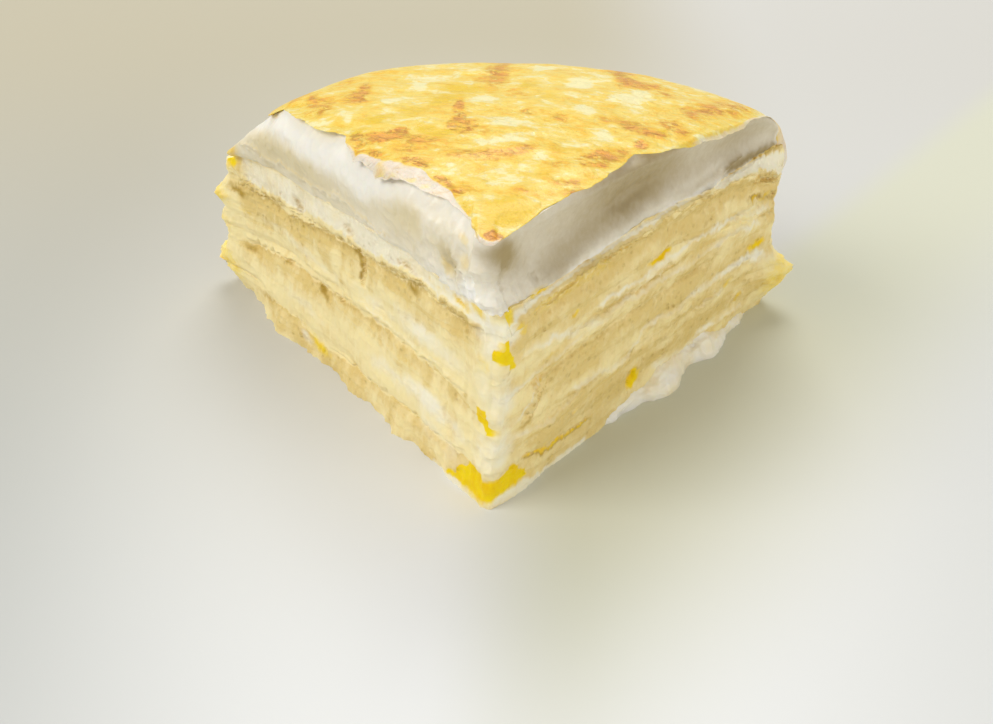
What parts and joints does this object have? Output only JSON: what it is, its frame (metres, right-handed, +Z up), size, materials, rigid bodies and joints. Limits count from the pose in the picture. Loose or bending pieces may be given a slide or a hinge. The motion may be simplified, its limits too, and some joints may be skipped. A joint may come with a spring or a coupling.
{
  "type": "mille crepe cake slice",
  "caption": "Wedge-shaped slice of a domed mille crepe cake: thin crepes stacked with cream between them, a browned glossy top crepe over a thick band of cream, and torn crepe edges at the rim.",
  "frame": {"origin": "on the flat underside, 45 mm from the upright line of the slice's nose, midway between the two cut faces", "axes": "+Z up through the layers, +Y from the nose towards the outer rim, +X towards the right when the nose faces the viewer"},
  "size_m": [0.123, 0.0923, 0.056],
  "materials": {
    "crepe_top": "moist, glossy",
    "crepe": "soft, matt",
    "cream_thick": "smooth, soft sheen",
    "cream": "smooth, soft sheen"
  },
  "bodies": {
    "root": {"crepe_01": "crepe_top", "crepe_02": "crepe", "crepe_03": "crepe", "crepe_04": "crepe", "crepe_05": "crepe", "crepe_06": "crepe", "crepe_07": "crepe", "crepe_08": "crepe", "crepe_09": "crepe", "crepe_10": "crepe", "crepe_11": "crepe", "cream_01": "cream_thick", "cream_02": "cream", "cream_03": "cream", "cream_04": "cream", "cream_05": "cream", "cream_06": "cream", "cream_07": "cream", "cream_08": "cream", "cream_09": "cream", "cream_10": "cream", "cream_foot": "cream_thick"}
  },
  "joints": []
}
